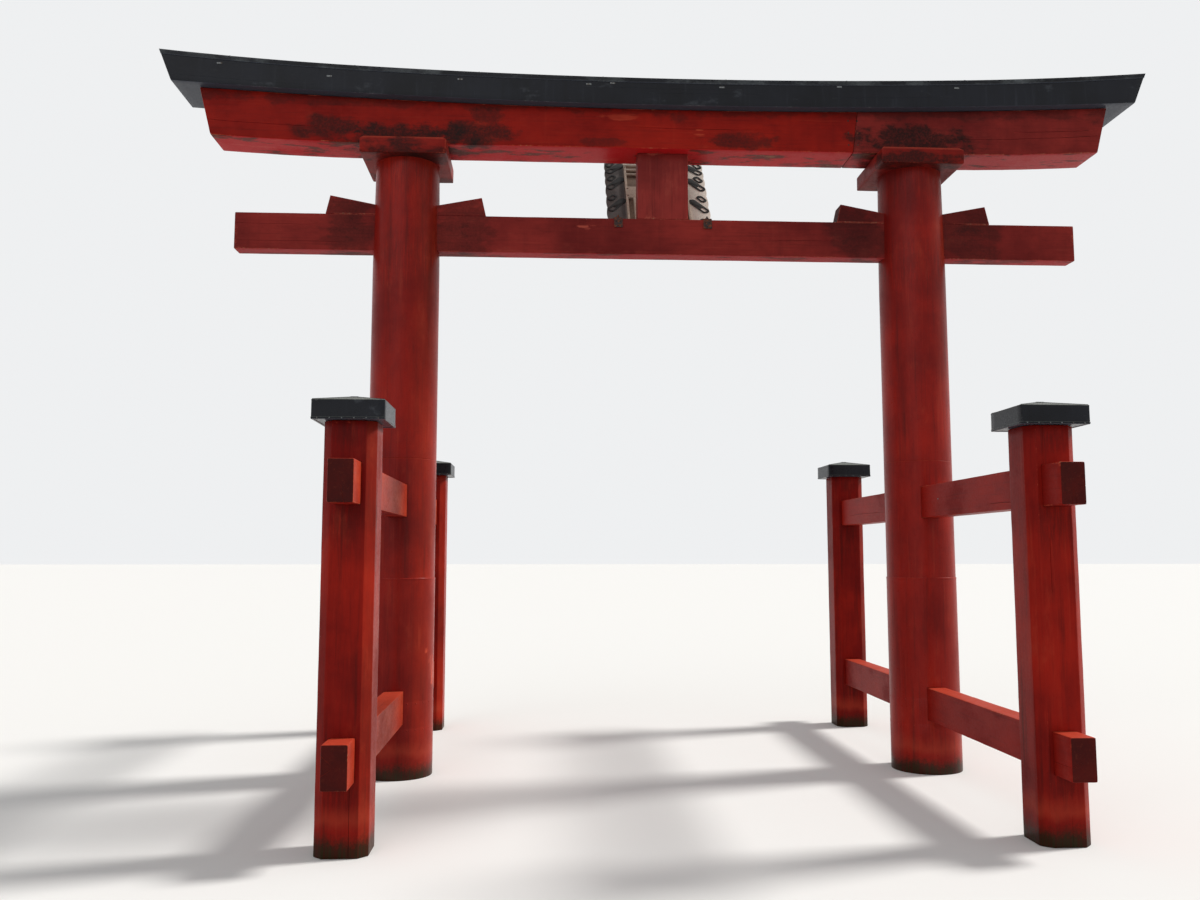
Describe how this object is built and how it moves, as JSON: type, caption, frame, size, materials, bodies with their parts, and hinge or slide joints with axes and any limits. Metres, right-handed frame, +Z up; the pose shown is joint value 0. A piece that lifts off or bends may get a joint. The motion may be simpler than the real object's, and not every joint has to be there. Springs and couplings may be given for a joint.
{
  "type": "torii gate",
  "caption": "Torii gate that stands in shallow water: round pillars under a curved double lintel, capped posts braced to them by through ties, and a blank leaning plaque.",
  "frame": {"origin": "midway between the pillars, at the lowest point where they meet the water", "axes": "+X along the gate to the right as seen from the shore, -Y towards the shore, +Z up"},
  "size_m": [11.7812, 7.21, 8.3343],
  "materials": {
    "red_timber": "weathered vermilion paint on timber",
    "red_jacket": "weathered vermilion paint on thin sheet",
    "black_timber": "matt black paint on timber",
    "cover_sheet": "dull black paint on folded sheet, worn pale along the edge",
    "cap_sheet": "dull black paint, weathered pale",
    "plaque_board": "bare weathered board",
    "plaque_trim": "weathered dark paint on board",
    "iron": "rusted wrought iron"
  },
  "bodies": {
    "root": {"capital_left": "red_timber", "capital_right": "red_timber", "centre_strut": "red_timber", "lintel_cover": "cover_sheet", "lower_lintel_left": "red_timber", "lower_lintel_right": "red_timber", "pillar_jacket_left": "red_jacket", "pillar_jacket_right": "red_jacket", "pillar_left": "red_timber", "pillar_right": "red_timber", "plaque_head": "plaque_trim", "plaque_hook_left": "iron", "plaque_hook_right": "iron", "plaque_panel": "plaque_board", "plaque_rails": "plaque_board", "plaque_sill": "plaque_trim", "plaque_stay_left": "iron", "plaque_stay_right": "iron", "plaque_wing_left": "plaque_trim", "plaque_wing_right": "plaque_trim", "post_cap_front_left": "cap_sheet", "post_cap_front_right": "cap_sheet", "post_cap_rear_left": "cap_sheet", "post_cap_rear_right": "cap_sheet", "post_front_left": "red_timber", "post_front_right": "red_timber", "post_rear_left": "red_timber", "post_rear_right": "red_timber", "side_tie_lower_left": "red_timber", "side_tie_lower_right": "red_timber", "side_tie_upper_left": "red_timber", "side_tie_upper_right": "red_timber", "tie_beam": "red_timber", "upper_lintel": "black_timber", "wedge_left_inner": "red_timber", "wedge_left_outer": "red_timber", "wedge_right_inner": "red_timber", "wedge_right_outer": "red_timber"}
  },
  "joints": []
}
